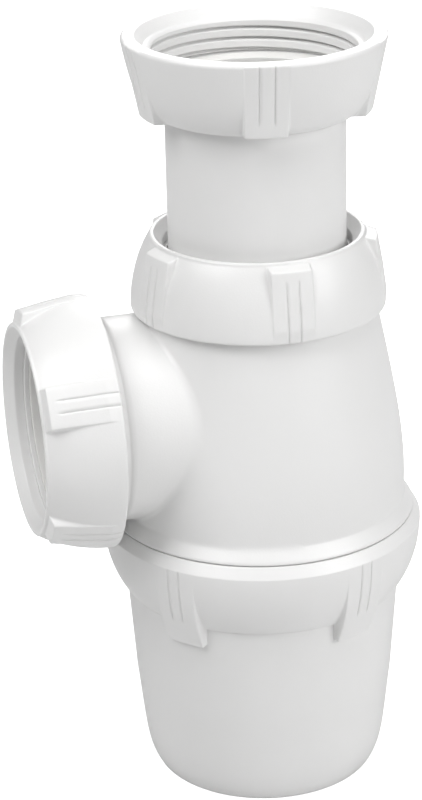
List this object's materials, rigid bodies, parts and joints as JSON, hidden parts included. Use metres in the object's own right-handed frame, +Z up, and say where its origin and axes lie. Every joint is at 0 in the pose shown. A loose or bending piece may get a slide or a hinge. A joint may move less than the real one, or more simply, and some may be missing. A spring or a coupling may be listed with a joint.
{
  "type": "sink trap",
  "caption": "White plastic bottle trap with a threaded inlet nut on a sliding tube, a side outlet with a compression nut, and a screwed cup.",
  "frame": {"origin": "centre of the cup's flat base, on the bottle's axis", "axes": "+Z up along the bottle's axis to the inlet, -X along the outlet's axis, away from the bottle"},
  "size_m": [0.0923, 0.074, 0.1767],
  "materials": {
    "white_plastic": "moulded polypropylene, soft gloss",
    "seal": "smooth pale elastomer"
  },
  "bodies": {
    "bottle": {"bottle_body": "white_plastic", "dip_tube": "white_plastic", "outlet_seal": "seal"},
    "neck_seal": {"neck_seal": "seal"},
    "inlet_tube": {"inlet_tube": "white_plastic"},
    "inlet_nut": {"inlet_nut": "white_plastic", "inlet_gasket": "seal"},
    "neck_ring": {"neck_ring": "white_plastic"},
    "neck_nut": {"neck_nut": "white_plastic"},
    "outlet_ring": {"outlet_ring": "white_plastic"},
    "outlet_nut": {"outlet_nut": "white_plastic"},
    "cup_seal": {"cup_seal": "seal"},
    "cup": {"cup": "white_plastic"}
  },
  "joints": [
    {"name": "bottle_swivel", "type": "hinge", "parent": "bottle", "child": "neck_seal", "pos_m": [0, 0, 0.1242], "axis": [0, 0, 1], "continuous": true},
    {"name": "inlet_height", "type": "slide", "parent": "neck_seal", "child": "inlet_tube", "axis": [0, 0, 1], "range_m": [-0.0274, 0.03]},
    {"name": "inlet_nut_turn", "type": "hinge", "parent": "inlet_tube", "child": "inlet_nut", "pos_m": [0, 0, 0.1704], "axis": [0, 0, 1], "continuous": true},
    {"name": "neck_nut_travel", "type": "slide", "parent": "bottle", "child": "neck_ring", "axis": [0, 0, 1], "range_m": [0, 0.00751]},
    {"name": "neck_nut_turn", "type": "hinge", "parent": "neck_ring", "child": "neck_nut", "pos_m": [0, 0, 0.123], "axis": [0, 0, 1], "range_deg": [0, 900]},
    {"name": "outlet_nut_travel", "type": "slide", "parent": "bottle", "child": "outlet_ring", "axis": [-1, 0, 0], "range_m": [0, 0.00751]},
    {"name": "outlet_nut_turn", "type": "hinge", "parent": "outlet_ring", "child": "outlet_nut", "pos_m": [-0.0478, 0, 0.0904], "axis": [-1, 0, 0], "range_deg": [0, 900]},
    {"name": "cup_travel", "type": "slide", "parent": "bottle", "child": "cup_seal", "axis": [0, 0, -1], "range_m": [0, 0.00876]},
    {"name": "cup_turn", "type": "hinge", "parent": "cup_seal", "child": "cup", "pos_m": [0, 0, 0.058], "axis": [0, 0, -1], "range_deg": [0, 900]}
  ],
  "couplings": [
    {"joint": "neck_nut_travel", "follows": "neck_nut_turn", "m_per_rad": 0.00047746},
    {"joint": "outlet_nut_travel", "follows": "outlet_nut_turn", "m_per_rad": 0.00047746},
    {"joint": "cup_travel", "follows": "cup_turn", "m_per_rad": 0.00055704}
  ]
}
